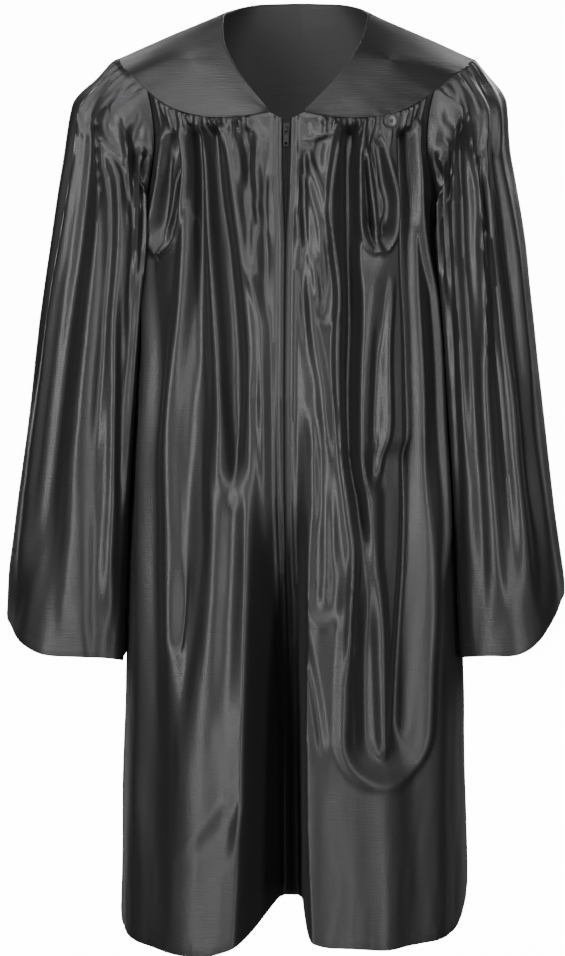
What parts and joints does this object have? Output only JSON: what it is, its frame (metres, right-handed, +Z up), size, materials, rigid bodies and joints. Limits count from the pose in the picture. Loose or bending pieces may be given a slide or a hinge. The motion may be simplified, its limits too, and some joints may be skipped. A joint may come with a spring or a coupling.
{
  "type": "child's graduation gown on an invisible wearer",
  "caption": "Knee-length satin gown with a flat pointed yoke, gathered fronts and back, wide open sleeves, a front zip and a yoke button.",
  "frame": {"origin": "middle of the wearer's neck base, level with the points where the neck edge meets the shoulder seams", "axes": "+Z up along the wearer's height, -Y the way the wearer faces, +X to the wearer's left"},
  "size_m": [0.462, 0.2789, 0.759],
  "materials": {
    "satin": "glossy black polyester satin",
    "zip_tape": "matt black woven tape",
    "zip_coil": "black nylon coil",
    "zip_metal": "dark enamelled metal",
    "button": "polished black"
  },
  "bodies": {
    "gown": {"front_right": "satin", "front_left": "satin", "back": "satin", "yoke_front_right": "satin", "yoke_front_left": "satin", "yoke_back": "satin", "sleeve_right": "satin", "sleeve_left": "satin", "zip_tape_right": "zip_tape", "zip_tape_left": "zip_tape", "zip_coil": "zip_coil", "zip_slider": "zip_metal", "zip_stop": "zip_metal", "button": "button"},
    "pull_tab": {"zip_pull": "zip_metal"}
  },
  "joints": [
    {"name": "pull_swing", "type": "hinge", "parent": "gown", "child": "pull_tab", "pos_m": [0, -0.08639, -0.09011], "axis": [-1, 0, 0], "range_deg": [0, 160]}
  ]
}
